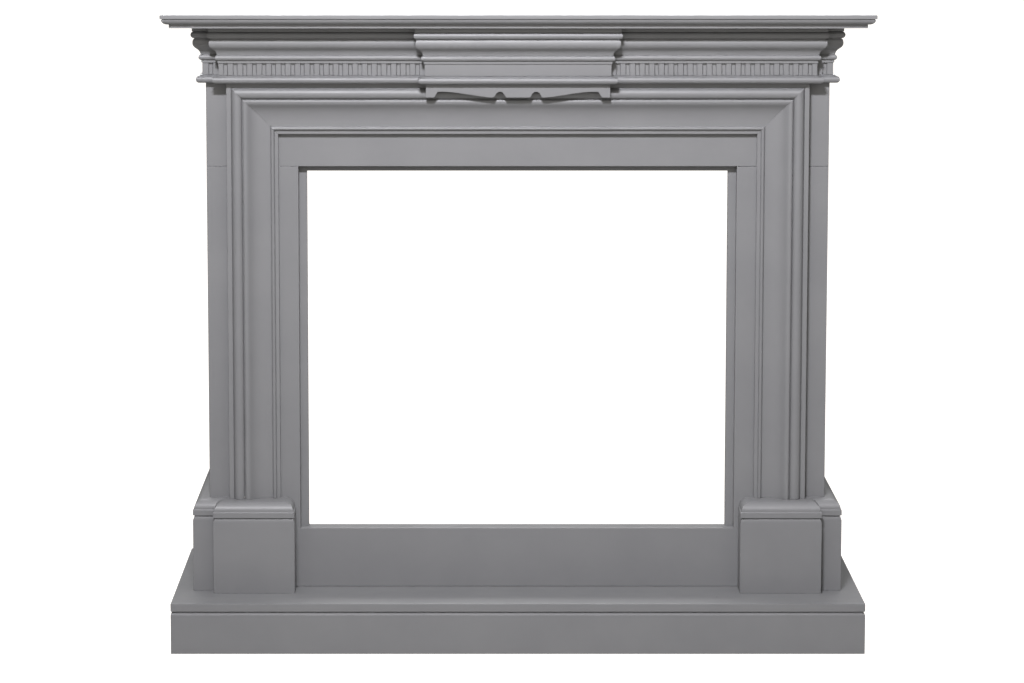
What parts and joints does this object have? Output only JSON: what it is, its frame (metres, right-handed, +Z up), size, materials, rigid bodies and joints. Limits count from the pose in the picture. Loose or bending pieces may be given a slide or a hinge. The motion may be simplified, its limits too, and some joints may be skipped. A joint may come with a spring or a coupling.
{
  "type": "fireplace mantelpiece",
  "caption": "Freestanding classical fireplace surround with moulded shelf, fluted frieze, mitred casing, plinth blocks and a raised hearth box.",
  "frame": {"origin": "on the floor, under the middle of the whole piece's bounding box", "axes": "+X to the viewer's right along the front, +Y from the front to the wall, +Z up"},
  "size_m": [1.1522, 0.43, 1.0373],
  "materials": {
    "grey_paint": "satin paint on fibreboard",
    "raw_board": "unpainted fibreboard"
  },
  "bodies": {
    "root": {"hearth_slab": "grey_paint", "hearth_front_board": "grey_paint", "hearth_back_board": "raw_board", "hearth_side_board_left": "grey_paint", "hearth_side_board_right": "grey_paint", "front_board": "grey_paint", "header_board": "grey_paint", "side_panel_left": "grey_paint", "side_panel_right": "grey_paint", "inner_frame": "grey_paint", "plinth_block_left": "grey_paint", "plinth_block_right": "grey_paint", "plinth_side_block_left": "grey_paint", "plinth_side_block_right": "grey_paint", "plinth_cap_left": "grey_paint", "plinth_cap_right": "grey_paint", "plinth_side_cap_left": "grey_paint", "plinth_side_cap_right": "grey_paint", "casing_left": "grey_paint", "casing_right": "grey_paint", "casing_top": "grey_paint", "torus_centre": "grey_paint", "torus_wing_left": "grey_paint", "torus_wing_right": "grey_paint", "torus_outer_left": "grey_paint", "torus_outer_right": "grey_paint", "frieze_centre": "grey_paint", "frieze_wing_left": "grey_paint", "frieze_wing_right": "grey_paint", "frieze_outer_left": "grey_paint", "frieze_outer_right": "grey_paint", "crown_centre": "grey_paint", "crown_wing_left": "grey_paint", "crown_wing_right": "grey_paint", "crown_outer_left": "grey_paint", "crown_outer_right": "grey_paint", "scalloped_apron": "grey_paint", "mantel_shelf": "grey_paint"}
  },
  "joints": []
}
